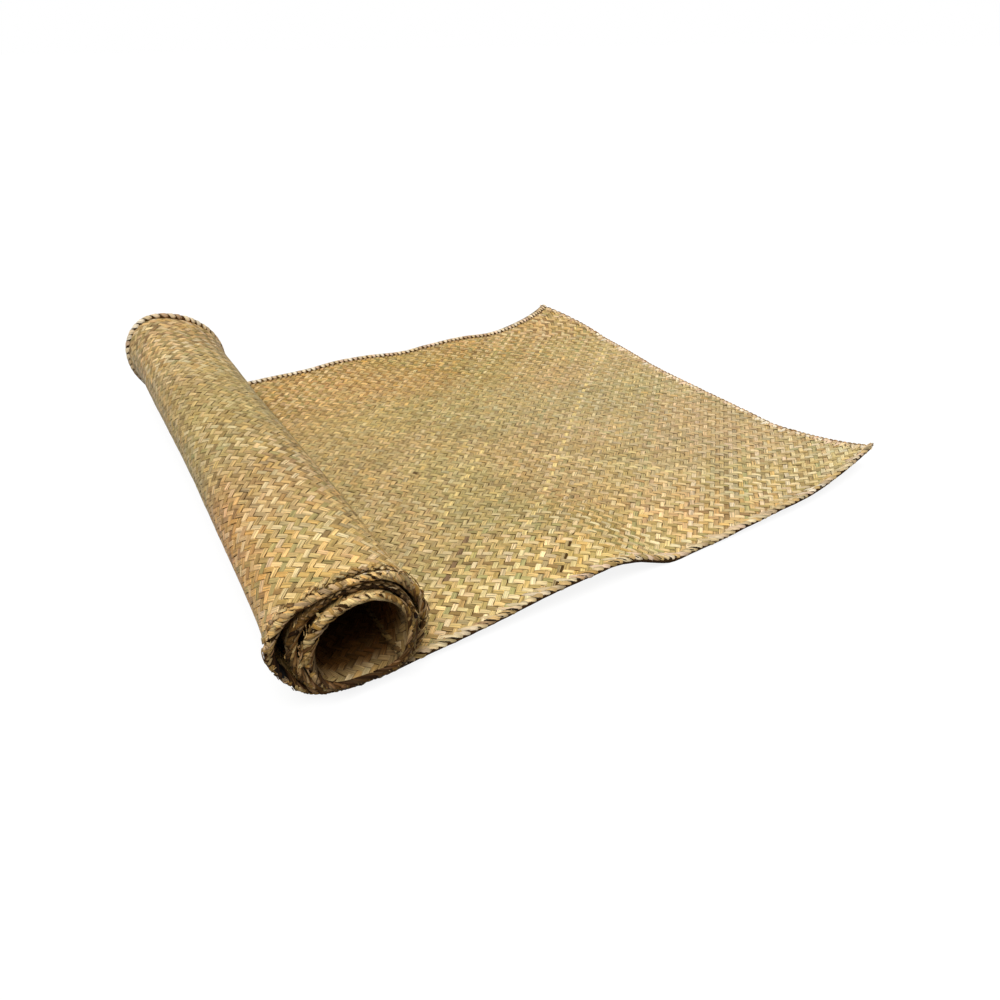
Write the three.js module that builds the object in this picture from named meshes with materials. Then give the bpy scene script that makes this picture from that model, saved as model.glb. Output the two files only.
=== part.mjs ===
// A plaited flax floor mat, half rolled up. The loose half lies on the floor, with one soft wave along its
// front edge and two curled corners. The other half winds up and over itself in almost three turns.
//
// Millimetres, +Z up. X runs along the mat, from the roll to the loose end. Y runs across it, from the
// front edge to the back edge. The origin is under the middle of the whole, on the floor.

import * as THREE from 'three';

// ---- Driving sizes ----

const MAT_WIDTH = 794;
const BODY_THICKNESS = 3; // two strips on each other, as plaited
const RIM_THICKNESS = 5.5; // the strips turn back on themselves along every edge
const RIM_WIDTH = 9;
const RIM_SLOPE = 6; // the rim thins to the body over this width

const ROLL_HUB = 67; // height of the line that the turns are measured from
const TURNS = 3;
const TURNS_END = 1040; // degrees of winding, from where the mat leaves the floor
const FLARE_FROM = 10; // degrees from straight down, below which the edges don't spread
const FLARE_FULL = 60; // and above which they spread fully

const BACK_REACH = 130; // how far the height of the back edge reaches in from it

const FLAT_STEPS = 31; // along the loose half
const TURN_STEP = 18; // degrees
const ACROSS_STEPS = 15; // between the two rims

const FLAX_COLOUR = 0xb39a63;

// ---- The roll ----

// How far the mat's underside lies from the hub line in each direction, in the first turn of both ends.
// Directions are in degrees from straight down, round by the left (-X) and over the top. Each later turn
// lies a gap further in.
const ROLL_DIRECTIONS = [
  { toward: 0, front: 67.0, back: 67.0, gapToSecond: 6.5, gapToThird: 6.5 },
  { toward: 25, front: 67.6, back: 68.0, gapToSecond: 6.4, gapToThird: 6.4 },
  { toward: 50, front: 69.5, back: 66.5, gapToSecond: 7.5, gapToThird: 9.0 },
  { toward: 75, front: 72.5, back: 68.5, gapToSecond: 11.0, gapToThird: 13.5 },
  { toward: 100, front: 81.5, back: 78.5, gapToSecond: 17.0, gapToThird: 16.5 },
  { toward: 125, front: 78.7, back: 88.0, gapToSecond: 15.0, gapToThird: 16.0 },
  { toward: 150, front: 67.4, back: 89.0, gapToSecond: 7.5, gapToThird: 12.0 },
  { toward: 180, front: 64.2, back: 73.0, gapToSecond: 7.8, gapToThird: 8.5 },
  { toward: 210, front: 66.2, back: 64.0, gapToSecond: 12.0, gapToThird: 7.0 },
  { toward: 240, front: 63.8, back: 61.5, gapToSecond: 12.5, gapToThird: 7.0 },
  { toward: 270, front: 63.2, back: 60.0, gapToSecond: 12.5, gapToThird: 8.0 },
  { toward: 300, front: 65.2, back: 62.0, gapToSecond: 12.0, gapToThird: 9.0 },
  { toward: 330, front: 66.1, back: 65.5, gapToSecond: 8.0, gapToThird: 8.0 },
];

// Across the mat: where the hub line lies, how far the section has changed from the front one to the back
// one, and how far the edge of the mat spreads outwards.
const ROLL_LENGTH = [
  { across: -397, hub: -345, change: 0, flare: 6.5 },
  { across: -381, hub: -345, change: 0, flare: 4 },
  { across: -345, hub: -345, change: 0, flare: 0.8 },
  { across: -200, hub: -346, change: 0, flare: 0 },
  { across: 0, hub: -350, change: 0.3, flare: -1.5 },
  { across: 120, hub: -354, change: 0.5, flare: -1.5 },
  { across: 250, hub: -357, change: 0.75, flare: 0 },
  { across: 345, hub: -359, change: 0.94, flare: 0.8 },
  { across: 381, hub: -360, change: 0.99, flare: 4.5 },
  { across: 397, hub: -360, change: 1, flare: 6.5 },
];

// The turns creep out of the roll's front end as they wind.
const CREEP = [
  { turned: 0, creep: 0 },
  { turned: 90, creep: 4 },
  { turned: 270, creep: 4.5 },
  { turned: 360, creep: 4.5 },
  { turned: 540, creep: 8.5 },
  { turned: 720, creep: 11 },
  { turned: 900, creep: 17 },
  { turned: 1040, creep: 19 },
];

// ---- The loose half ----

// The height of the front edge, and how far that height reaches in from it.
const FRONT_EDGE = [
  { along: -340, lift: 0, reach: 60 },
  { along: -277, lift: 5, reach: 80 },
  { along: -195, lift: 13, reach: 180 },
  { along: -124, lift: 22, reach: 280 },
  { along: -75, lift: 24.5, reach: 300 },
  { along: -37, lift: 26.5, reach: 300 },
  { along: -11, lift: 22, reach: 300 },
  { along: 13, lift: 12, reach: 300 },
  { along: 43, lift: 1, reach: 280 },
  { along: 73, lift: 0, reach: 200 },
  { along: 125, lift: 2, reach: 140 },
  { along: 160, lift: 6, reach: 140 },
  { along: 195, lift: 8.5, reach: 140 },
  { along: 232, lift: 7, reach: 140 },
  { along: 275, lift: 2, reach: 140 },
  { along: 315, lift: 0, reach: 140 },
];

// The height of the back edge.
const BACK_EDGE = [
  { along: -285, lift: 0 },
  { along: -257, lift: 1.5 },
  { along: -159, lift: 3 },
  { along: -93, lift: 7.5 },
  { along: -31, lift: 5.4 },
  { along: 33, lift: 0 },
  { along: 90, lift: 3 },
  { along: 165, lift: 5 },
  { along: 232, lift: 1 },
  { along: 275, lift: 0 },
];

// Where the loose end lies, across the mat.
const END_EDGE = [
  { across: -397, along: 427 },
  { across: -220, along: 426 },
  { across: 0, along: 421.5 },
  { across: 90, along: 422 },
  { across: 170, along: 430 },
  { across: 260, along: 434 },
  { across: 397, along: 433 },
];

// The curled corners: how far each curl reaches along and across, where its tip moves to, and how sharply.
const CORNERS = [
  {
    side: -1,
    reachAlong: 235,
    reachAcross: 195,
    shape: 1.12,
    up: 33,
    along: 11,
    alongShape: 4,
    across: 29,
    acrossShape: 2,
  },
  {
    side: 1,
    reachAlong: 215,
    reachAcross: 150,
    shape: 1.2,
    up: 29,
    along: -40,
    alongShape: 2,
    across: 38,
    acrossShape: 1.6,
  },
];

// ---- Smooth curves through the tables ----

// A function that passes smoothly through one column of a table.
function curve(rows, key, column) {
  const at = rows.map((row) => row[key]);
  const value = rows.map((row) => row[column]);
  const last = rows.length - 1;
  const slope = value.map((_, i) =>
    i === 0 || i === last ? 0 : (value[i + 1] - value[i - 1]) / (at[i + 1] - at[i - 1]),
  );
  return (x) => {
    const place = THREE.MathUtils.clamp(x, at[0], at[last]);
    let i = 0;
    while (i < last - 1 && place > at[i + 1]) i += 1;
    const step = at[i + 1] - at[i];
    const u = (place - at[i]) / step;
    const v = 1 - u;
    return (
      v * v * ((1 + 2 * u) * value[i] + u * step * slope[i]) +
      u * u * ((1 + 2 * v) * value[i + 1] - v * step * slope[i + 1])
    );
  };
}

// The directions of all turns in one table, with the gaps taken off.
function windings() {
  const rows = [];
  for (let turn = 0; turn < TURNS; turn += 1) {
    for (const row of ROLL_DIRECTIONS) {
      const inward = (turn > 0 ? row.gapToSecond : 0) + (turn > 1 ? row.gapToThird : 0);
      rows.push({ turned: turn * 360 + row.toward, front: row.front - inward, back: row.back - inward });
    }
  }
  return rows;
}

const reachFront = curve(windings(), 'turned', 'front');
const reachBack = curve(windings(), 'turned', 'back');
const hubAlong = curve(ROLL_LENGTH, 'across', 'hub');
const change = curve(ROLL_LENGTH, 'across', 'change');
const flare = curve(ROLL_LENGTH, 'across', 'flare');
const creep = curve(CREEP, 'turned', 'creep');
const frontLift = curve(FRONT_EDGE, 'along', 'lift');
const frontReach = curve(FRONT_EDGE, 'along', 'reach');
const backLift = curve(BACK_EDGE, 'along', 'lift');
const endAlong = curve(END_EDGE, 'across', 'along');

// ---- The mat's underside ----

// One point of the loose half. How far is 0 at the loose end and 1 where the mat leaves the floor.
function looseHalf(howFar, across) {
  const fromFront = MAT_WIDTH / 2 + across;
  const fromBack = MAT_WIDTH / 2 - across;
  const end = endAlong(across);
  const along = THREE.MathUtils.lerp(end, hubAlong(across), howFar);
  const fadeFront = 1 - THREE.MathUtils.smoothstep(fromFront, 0, frontReach(along));
  const fadeBack = 1 - THREE.MathUtils.smoothstep(fromBack, 0, BACK_REACH);
  const lift = Math.max(0, frontLift(along)) * fadeFront + Math.max(0, backLift(along)) * fadeBack;
  const point = new THREE.Vector3(along, across, lift);
  for (const corner of CORNERS) {
    const fromEdge = corner.side < 0 ? fromFront : fromBack;
    const near = 1 - (end - along) / corner.reachAlong - fromEdge / corner.reachAcross;
    const curl = Math.max(0, near) ** corner.shape;
    point.x += corner.along * curl ** corner.alongShape;
    point.y += corner.across * curl ** corner.acrossShape;
    point.z += corner.up * curl;
  }
  return point;
}

// One point of the roll, so many degrees after the mat leaves the floor.
function roll(turned, across) {
  const fromDown = Math.min(turned % 360, 360 - (turned % 360));
  const spread = flare(across) * THREE.MathUtils.smoothstep(fromDown, FLARE_FROM, FLARE_FULL);
  const reach = THREE.MathUtils.lerp(reachFront(turned), reachBack(turned), change(across)) + spread;
  const angle = THREE.MathUtils.degToRad(turned);
  return new THREE.Vector3(
    hubAlong(across) - reach * Math.sin(angle),
    across - creep(turned),
    ROLL_HUB - reach * Math.cos(angle),
  );
}

// Stations along the mat: 0 to 1 is the loose half, and above 1 each whole number is one more turn.
function underside(station, across) {
  return station <= 1 ? looseHalf(station, across) : roll((station - 1) * 360, across);
}

// ---- The solid ----

// Places from an edge inwards: the rim's flat top, then its slope.
const RIM_PLACES = [0, RIM_WIDTH, RIM_WIDTH + RIM_SLOPE];

function range(from, to, steps) {
  return Array.from({ length: steps + 1 }, (_, i) => THREE.MathUtils.lerp(from, to, i / steps));
}

// A line of places from one edge of the mat to the other, with the rim's own places at both ends.
function withRims(from, to, inner) {
  return [
    ...RIM_PLACES.map((place) => from + place),
    ...inner,
    ...RIM_PLACES.toReversed().map((place) => to - place),
  ];
}

function stations() {
  const looseLength = END_EDGE[0].along - ROLL_LENGTH[0].hub;
  const rim = RIM_PLACES.map((place) => place / looseLength);
  const loose = range(rim[2], 1, FLAT_STEPS).slice(1);
  const lastTurn = 1 + TURNS_END / 360;
  const innerRadius = reachFront(TURNS_END);
  const turnRim = rim.map((place) => (place * looseLength) / (2 * Math.PI * innerRadius));
  const turns = range(1, lastTurn - turnRim[2], Math.round(TURNS_END / TURN_STEP));
  return [...rim, ...loose, ...turns.slice(1), lastTurn - turnRim[1], lastTurn];
}

// The rim is thicker than the body on all four edges.
function thickness(fromEdges) {
  const rim = 1 - THREE.MathUtils.smoothstep(fromEdges, RIM_WIDTH, RIM_WIDTH + RIM_SLOPE);
  return THREE.MathUtils.lerp(BODY_THICKNESS, RIM_THICKNESS, rim);
}

function matGeometry() {
  const half = MAT_WIDTH / 2;
  const inner = range(-half + RIM_WIDTH + RIM_SLOPE, half - RIM_WIDTH - RIM_SLOPE, ACROSS_STEPS).slice(1, -1);
  const acrosses = withRims(-half, half, inner);
  const alongs = stations();
  const rows = alongs.length;
  const columns = acrosses.length;
  const positions = [];
  const bottom = alongs.map((station) => acrosses.map((across) => underside(station, across)));

  // The upper side stands the mat's thickness off the underside, square to it.
  const side = (points, i, step) => points[THREE.MathUtils.clamp(i + step, 0, points.length - 1)];
  const top = bottom.map((line, i) =>
    line.map((point, j) => {
      const before = side(bottom, i, -1)[j];
      const after = side(bottom, i, 1)[j];
      const alongDirection = new THREE.Vector3().subVectors(before, after);
      const acrossDirection = new THREE.Vector3().subVectors(side(line, j, 1), side(line, j, -1));
      const up = new THREE.Vector3().crossVectors(alongDirection, acrossDirection).normalize();
      const fromEnds = RIM_PLACES[Math.min(i, rows - 1 - i)] ?? half;
      const fromSides = Math.min(half + acrosses[j], half - acrosses[j]);
      return up.multiplyScalar(thickness(Math.min(fromEnds, fromSides))).add(point);
    }),
  );
  for (const layer of [bottom, top]) {
    for (const line of layer) {
      for (const point of line) positions.push(point.x, point.y, point.z);
    }
  }

  const under = (i, j) => i * columns + j;
  const over = (i, j) => rows * columns + under(i, j);
  const faces = [];
  const quad = (a, b, c, d) => faces.push(a, b, c, a, c, d);
  for (let i = 0; i + 1 < rows; i += 1) {
    for (let j = 0; j + 1 < columns; j += 1) {
      quad(under(i, j), under(i + 1, j), under(i + 1, j + 1), under(i, j + 1));
      quad(over(i, j), over(i, j + 1), over(i + 1, j + 1), over(i + 1, j));
    }
    quad(under(i, 0), over(i, 0), over(i + 1, 0), under(i + 1, 0));
    quad(under(i, columns - 1), under(i + 1, columns - 1), over(i + 1, columns - 1), over(i, columns - 1));
  }
  for (let j = 0; j + 1 < columns; j += 1) {
    quad(under(0, j), under(0, j + 1), over(0, j + 1), over(0, j));
    quad(under(rows - 1, j), over(rows - 1, j), over(rows - 1, j + 1), under(rows - 1, j + 1));
  }

  const geometry = new THREE.BufferGeometry();
  geometry.setAttribute('position', new THREE.Float32BufferAttribute(positions, 3));
  geometry.setIndex(faces);
  geometry.computeVertexNormals();
  return geometry;
}

// ---- The object ----

const plaitedFlax = new THREE.MeshStandardMaterial({ color: FLAX_COLOUR, roughness: 0.75, metalness: 0 });
const mat = new THREE.Mesh(matGeometry(), plaitedFlax);
mat.name = 'mat';

// The sizes above are measured from the middle of the flat mat, so the whole is moved over its origin.
mat.geometry.computeBoundingBox();
const middle = mat.geometry.boundingBox.getCenter(new THREE.Vector3());
mat.position.set(-middle.x, -middle.y, 0);

const halfRolledMat = new THREE.Group();
halfRolledMat.name = 'half_rolled_mat';
halfRolledMat.add(mat);

export default halfRolledMat;
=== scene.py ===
"""A plaited flax floor mat, half rolled up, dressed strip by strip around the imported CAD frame.

The mat is worked out flat, in a chart of millimetres: u from the loose end towards the rolled end, v
from the front edge to the back edge, and a height above the mat's underside. One function then lays the
chart on the form of the CAD solid, so that every strip, edge wrap and loose fibre follows it.
"""

import math

import bpy
import numpy as np
from mathutils import Euler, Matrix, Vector


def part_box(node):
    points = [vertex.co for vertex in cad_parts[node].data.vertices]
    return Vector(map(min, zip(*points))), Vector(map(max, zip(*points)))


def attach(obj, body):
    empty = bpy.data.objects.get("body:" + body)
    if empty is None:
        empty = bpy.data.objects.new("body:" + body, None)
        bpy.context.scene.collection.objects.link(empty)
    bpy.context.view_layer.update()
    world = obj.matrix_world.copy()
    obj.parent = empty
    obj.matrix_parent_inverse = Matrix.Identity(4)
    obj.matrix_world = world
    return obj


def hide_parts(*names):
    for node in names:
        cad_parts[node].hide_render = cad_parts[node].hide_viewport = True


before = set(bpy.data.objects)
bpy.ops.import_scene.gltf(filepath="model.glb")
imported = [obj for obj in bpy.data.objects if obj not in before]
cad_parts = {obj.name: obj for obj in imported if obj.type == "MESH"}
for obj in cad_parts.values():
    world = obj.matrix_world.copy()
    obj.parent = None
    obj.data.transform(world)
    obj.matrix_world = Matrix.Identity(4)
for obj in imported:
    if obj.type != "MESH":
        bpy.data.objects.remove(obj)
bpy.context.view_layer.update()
scene = bpy.context.scene
draw = np.random.default_rng(20241)
uniform = draw.uniform

# ---- The form, as in the CAD source ----


def table(*rows):
    """Rows of numbers. The first column says where the others hold."""
    return np.array(rows, float)


WIDTH = 794.0
ROLL_HUB = 67.0  # the height from which the turns' reach is measured
TURNS_END = 1040.0  # degrees
FLARE_FROM, FLARE_FULL = 10.0, 60.0  # degrees from straight down over which the flare comes in
BACK_REACH = 130.0  # how far in the back edge's lift reaches
BODY, RIM = 3.0, 5.5  # the solid's thickness inside and on the rim

# degrees from straight down, reach at the front and at the back, gap to the second turn, to the third
ROLL_DIRECTIONS = table(
    (0, 67, 67, 6.5, 6.5),
    (25, 67.6, 68, 6.4, 6.4),
    (50, 69.5, 66.5, 7.5, 9),
    (75, 72.5, 68.5, 11, 13.5),
    (100, 81.5, 78.5, 17, 16.5),
    (125, 78.7, 88, 15, 16),
    (150, 67.4, 89, 7.5, 12),
    (180, 64.2, 73, 7.8, 8.5),
    (210, 66.2, 64, 12, 7),
    (240, 63.8, 61.5, 12.5, 7),
    (270, 63.2, 60, 12.5, 8),
    (300, 65.2, 62, 12, 9),
    (330, 66.1, 65.5, 8, 8),
)
# across, hub along, change from front to back section, flare
ROLL_LENGTH = table(
    (-397, -345, 0, 6.5),
    (-381, -345, 0, 4),
    (-345, -345, 0, 0.8),
    (-200, -346, 0, 0),
    (0, -350, 0.3, -1.5),
    (120, -354, 0.5, -1.5),
    (250, -357, 0.75, 0),
    (345, -359, 0.94, 0.8),
    (381, -360, 0.99, 4.5),
    (397, -360, 1, 6.5),
)
# degrees turned, creep out of the front end
CREEP = table((0, 0), (90, 4), (270, 4.5), (360, 4.5), (540, 8.5), (720, 11), (900, 17), (1040, 19))
# along, lift of the front edge, reach of that lift
FRONT_EDGE = table(
    (-340, 0, 60), (-277, 5, 80), (-195, 13, 180), (-124, 22, 280),
    (-75, 24.5, 300), (-37, 26.5, 300), (-11, 22, 300), (13, 12, 300),
    (43, 1, 280), (73, 0, 200), (125, 2, 140), (160, 6, 140),
    (195, 8.5, 140), (232, 7, 140), (275, 2, 140), (315, 0, 140),
)
# along, lift of the back edge
BACK_EDGE = table(
    (-285, 0), (-257, 1.5), (-159, 3), (-93, 7.5), (-31, 5.4),
    (33, 0), (90, 3), (165, 5), (232, 1), (275, 0),
)
# across, where the loose end lies
END_EDGE = table((-397, 427), (-220, 426), (0, 421.5), (90, 422), (170, 430), (260, 434), (397, 433))
# the loose end's corners: how far in each curls, how sharply, and its shift upwards and along u and v
CORNERS = (
    dict(side=-1, reach_u=235, reach_v=195, shape=1.12, up=33, u=11, u_shape=4, v=29, v_shape=2),
    dict(side=1, reach_u=215, reach_v=150, shape=1.2, up=29, u=-40, u_shape=2, v=38, v_shape=1.6),
)


def curve(at, value):
    """A smooth function through a table's column, level at both ends."""
    slope = np.zeros(len(at))
    slope[1:-1] = (value[2:] - value[:-2]) / (at[2:] - at[:-2])

    def through(x):
        x = np.clip(x, at[0], at[-1])
        i = np.clip(np.searchsorted(at, x, side="right") - 1, 0, len(at) - 2)
        step = at[i + 1] - at[i]
        s = (x - at[i]) / step
        r = 1 - s
        before = r * r * ((1 + 2 * s) * value[i] + s * step * slope[i])
        return before + s * s * ((1 + 2 * r) * value[i + 1] - r * step * slope[i + 1])

    return through


def curves(rows):
    """A smooth function for each of a table's columns after the first."""
    return [curve(rows[:, 0], column) for column in rows.T[1:]]


def smoothstep(x, low, high):
    """0 below low, 1 above high, smooth between."""
    t = np.clip((x - low) / (high - low), 0, 1)
    return t * t * (3 - 2 * t)


def falling(x, low, high):
    """1 below low, 0 above high, smooth between."""
    return 1 - smoothstep(x, low, high)


def windings():
    """Degrees turned, and the reach from the hub over all turns at the front and at the back."""
    direction, front, back, second, third = ROLL_DIRECTIONS.T
    turns = []
    for turn in range(3):
        inward = (turn > 0) * second + (turn > 1) * third
        turns.append(np.column_stack([turn * 360 + direction, front - inward, back - inward]))
    return np.concatenate(turns)


reach_front, reach_back = curves(windings())
gap_second, gap_third = curves(ROLL_DIRECTIONS)[2:]
hub_along, towards_back, flare = curves(ROLL_LENGTH)
(creep,) = curves(CREEP)
front_lift, front_reach = curves(FRONT_EDGE)
(back_lift,) = curves(BACK_EDGE)
(end_along,) = curves(END_EDGE)


def loose_half(how_far, across):
    """A place on the loose half. how_far is 0 at its end and 1 at the roll's foot."""
    from_front, from_back = WIDTH / 2 + across, WIDTH / 2 - across
    end = end_along(across)
    along = end + (hub_along(across) - end) * how_far
    lift = np.maximum(0, front_lift(along)) * falling(from_front, 0, front_reach(along))
    lift = lift + np.maximum(0, back_lift(along)) * falling(from_back, 0, BACK_REACH)
    x, y, z = along, across, lift
    for c in CORNERS:
        from_edge = from_front if c["side"] < 0 else from_back
        near = 1 - (end - along) / c["reach_u"] - from_edge / c["reach_v"]
        curl = np.maximum(0, near) ** c["shape"]
        x = x + c["u"] * curl ** c["u_shape"]
        y = y + c["v"] * curl ** c["v_shape"]
        z = z + c["up"] * curl
    return np.stack([x, y, z], -1)


def roll(turned, across):
    """A place on the roll. turned is in degrees, from the roll's foot round all its turns."""
    turned = np.maximum(turned, 0)
    from_down = np.minimum(turned % 360, 360 - turned % 360)
    spread = flare(across) * smoothstep(from_down, FLARE_FROM, FLARE_FULL)
    front, back = reach_front(turned), reach_back(turned)
    reach = front + (back - front) * towards_back(across) + spread
    angle = np.radians(turned)
    x = hub_along(across) - reach * np.sin(angle)
    return np.stack([x, across - creep(turned), ROLL_HUB - reach * np.cos(angle)], -1)


def underside(station, across):
    """Stations: 0 to 1 is the loose half, and above 1 each whole number is one more turn."""
    station, across = np.broadcast_arrays(station, across)
    loose = (station <= 1)[..., None]
    return np.where(loose, loose_half(station, across), roll((station - 1) * 360, across))


LAST_STATION = 1 + TURNS_END / 360
MEASURED_ACROSS = np.linspace(-300, 300, 13)  # the length is the mean of the lengths along these lines
station_at = np.linspace(0, LAST_STATION, 4001)
lines = underside(station_at[:, None], MEASURED_ACROSS[None])
steps = np.linalg.norm(np.diff(lines, axis=0), axis=-1).mean(1)
length_at = np.concatenate([[0], np.cumsum(steps)])
LENGTH = float(length_at[-1])
LOOSE_LENGTH = float(np.interp(1, station_at, length_at))


def turned_at_length(u):
    """Degrees turned at a chart place, below 0 on the loose half."""
    return (np.interp(u, length_at, station_at) - 1) * 360


def at_turned(turned):
    """The chart's u at a number of degrees turned."""
    return float(np.interp(1 + turned / 360, station_at, length_at))


# The table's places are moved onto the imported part: its far corner is where both say it is.
box_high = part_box("mat")[1]
tip = np.array([END_EDGE[0, 1] + CORNERS[0]["u"], WIDTH / 2 + CORNERS[1]["v"]])
shift = np.array([box_high.x * 1000 - tip[0], box_high.y * 1000 - tip[1], 0])


def patches(cell, seed):
    """A smooth random field over the chart, from -1 to 1, with features about one cell wide."""
    values = np.random.default_rng(seed).uniform(-1, 1, (64, 64))

    def value(i, j):
        return values[i % 64, j % 64]

    def field(u, v):
        a, b = u / cell + 7.3, v / cell + 31.7
        i, j = np.floor(a).astype(int), np.floor(b).astype(int)
        s, t = smoothstep(a - i, 0, 1), smoothstep(b - j, 0, 1)
        low = value(i, j) * (1 - s) + value(i + 1, j) * s
        return low * (1 - t) + (value(i, j + 1) * (1 - s) + value(i + 1, j + 1) * s) * t

    return field


LOOSE_SWELL, ROLL_SWELL = 0.7, 0.45  # how high the swells are
broad_swell = patches(75, 21)
small_swell = patches(22, 22)


def unevenness(u, v):
    """Small swells: upwards only on the loose half and at the roll's foot, which lie on the floor."""
    swell = 0.65 * broad_swell(u, v) + 0.35 * small_swell(u, v)
    rolled = smoothstep(u, LOOSE_LENGTH - 40, LOOSE_LENGTH + 40)
    foot = falling(u, LOOSE_LENGTH + 20, LOOSE_LENGTH + 60)
    return (swell + 1) * LOOSE_SWELL * (1 - rolled) + (swell + foot) * ROLL_SWELL * rolled


FLOOR_GAP = 0.05  # nothing lies closer to the floor
NEARBY = 0.002  # how far off the slope is taken, in stations


def lay(u, v, height):
    """Chart millimetres to the part's metres. The normal comes from places a little to each side."""
    station = np.interp(u, length_at, station_at)
    height = height + unevenness(u, v)
    station = station + np.minimum(u, 0) / LENGTH * LAST_STATION
    base = underside(station, v)
    along = underside(station + NEARBY, v) - underside(station - NEARBY, v)
    across = underside(station, v + 1) - underside(station, v - 1)
    normal = np.cross(-along, across)
    normal /= np.linalg.norm(normal, axis=-1, keepdims=True)
    place = base + normal * height[..., None] + shift
    place[..., 2] = np.maximum(place[..., 2], FLOOR_GAP)
    return place * 0.001


# ---- Colours ----


def colour(code):
    """A colour as it is written, to the renderer's linear values."""
    value = np.array([code >> 16 & 255, code >> 8 & 255, code & 255]) / 255
    return np.where(value <= 0.04045, value / 12.92, ((value + 0.055) / 1.055) ** 2.4)


def palette(*codes):
    return [colour(code) for code in codes]


LIGHT = palette(0xEED29E, 0xE6C68C, 0xF3DDAE, 0xE3C07E, 0xECCFA4, 0xE2C896, 0xE9C382)
MIDDLE = palette(0xD2B27A, 0xCAA867, 0xD0A976, 0xC3A970, 0xCEB784, 0xCFA65F, 0xCCA678)
DARK = palette(0xB4975C, 0xAB8D50, 0xB68E58, 0xA18A50, 0xA49B64, 0xA08250, 0xAE946C)
BROWN = palette(0x957045, 0x876539, 0x9D7945)
CREAM = palette(0xF0DAB4, 0xE6CC9E, 0xF6E6C8, 0xDFC193, 0xEFD0AE)
PINKISH = palette(0xDDC19A, 0xCDAE86, 0xE4CBA4, 0xC6A37C, 0xD8B896)
WORN = palette(0xD8AC62, 0xC89A50, 0xE6C27E, 0xB88C4C, 0xA37A42, 0xCFA878, 0xC9A66C)
LIP = palette(0xC69C66, 0xB08654, 0xDAB682, 0x8E6638, 0xC2986A, 0xA88058)
BLEACHED = palette(0xEAC486, 0xDEB470, 0xF2D292, 0xD0A460, 0xDDB67E, 0xE4C090)
RUSSET = palette(0x664522, 0x76532E, 0x52361A)
MEAN = colour(0xC6AD78)  # a strip's contrast is how far it keeps from this colour
# what each zone's tint does to red, green and blue
GREEN_TINT = np.array([0.965, 1.01, 0.94])
WARM_TINT = np.array([1.03, 0.99, 0.95])
SHADOW_TINT = np.array([0.74, 0.75, 0.7])
# painted shade inside the roll: behind its front rim, between its turns and at its inner end
CORE_PAINTED_SHADE = np.array([0.2, 0.118, 0.055])
# paler towards the loose end: partly the strips' paler tone, partly painted light
PALE_TINT = np.array([1.05, 1.085, 1.24])
FAR_TINT = np.array([0.99, 0.92, 0.78])
ROLL_TINT = 0.965 ** np.array([0, 0.3, 1])
FAR_ROLL_TINT = np.array([1.07, 1.04, 1.12])
FLANK_TINT = np.array([1.07, 0.94, 0.88])
light_field = patches(90, 11)
green_field = patches(110, 12)
fine_field = patches(26, 13)


def pick(colours):
    return colours[draw.integers(len(colours))]


def contrast(u, v):
    """How far light and dark strips differ: most along the front of the loose half and of the roll."""
    front, far = falling(v, -345, -190), smoothstep(v, 120, 320)
    loose = 0.37 + 0.39 * front - 0.14 * falling(u, 0, 300) * front + 0.28 * far
    inside = smoothstep(u, at_turned(330), at_turned(500))
    on_roll = 0.4 - 0.2 * inside + 0.28 * falling(v, -330, 60) + 0.25 * far
    rolled = smoothstep(u, LOOSE_LENGTH, LOOSE_LENGTH + 60)
    return loose * (1 - rolled) + on_roll * rolled


def in_core(u, v):
    """How deep in the roll's shade a place lies, from 0 to 1."""
    behind_rim = smoothstep(u, at_turned(330), at_turned(500)) * smoothstep(v, -396, -362)
    between = smoothstep(u, at_turned(340), at_turned(370)) * falling(u, at_turned(690), at_turned(740))
    inner_end = smoothstep(u, at_turned(900), at_turned(960))
    return np.maximum(behind_rim, np.maximum(0.7 * between, 0.6 * inner_end))


def tinted(own, u, v):
    """A strip's own colour, changed by where on the mat it lies, with painted light and painted shade in
    places.
    """
    loose = falling(u, LOOSE_LENGTH, LOOSE_LENGTH + 60)
    on_roll = loose < 0.5
    shade = 1 + 0.05 * light_field(u, v) + 0.05 * fine_field(u, v)
    # lighter along the front and at the loose end, partly painted light, and darker in the middle beside
    # the roll
    shade = shade + 0.17 * falling(v, -380, -150) + 0.05 * falling(u, 0, 250)
    # a painted pool of light on the front of the loose half
    shade = shade + 0.12 * np.exp(-(((u - 500) / 170) ** 2)) * falling(v, -360, -250)
    shade = shade + 0.035 * loose * falling(v, -380, -230)
    middle = smoothstep(v, -350, -250) * falling(v, 60, 200)
    shade = shade - 0.05 * loose * smoothstep(u, 560, 700) * middle
    green = np.clip(0.5 + 0.8 * green_field(u, v), 0, 1)[..., None]
    tint = green * GREEN_TINT + (1 - green) * WARM_TINT
    flank = smoothstep(u, at_turned(25), at_turned(60)) * falling(u, at_turned(120), at_turned(150))
    beside_roll = smoothstep(u, LOOSE_LENGTH - 110, LOOSE_LENGTH - 10) * (u < LOOSE_LENGTH + 100)
    for share, zone_tint in (
        (on_roll & (v < 150), ROLL_TINT),
        (smoothstep(v, 0, 330) * (u < LOOSE_LENGTH), FAR_TINT),
        (flank * falling(v, -200, -80), FLANK_TINT),
        (smoothstep(v, 120, 300) * on_roll, FAR_ROLL_TINT),
        (falling(u, 100, 480), PALE_TINT),
        (beside_roll, SHADOW_TINT),
        (in_core(u, v), CORE_PAINTED_SHADE),
    ):
        tint = tint * (1 - share[..., None] * (1 - zone_tint))
    return (MEAN + (own - MEAN) * contrast(u, v)[..., None]) * shade[..., None] * tint


# ---- Ribbons: closed strips, square at the sides or with a thin edge on both ----


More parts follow.
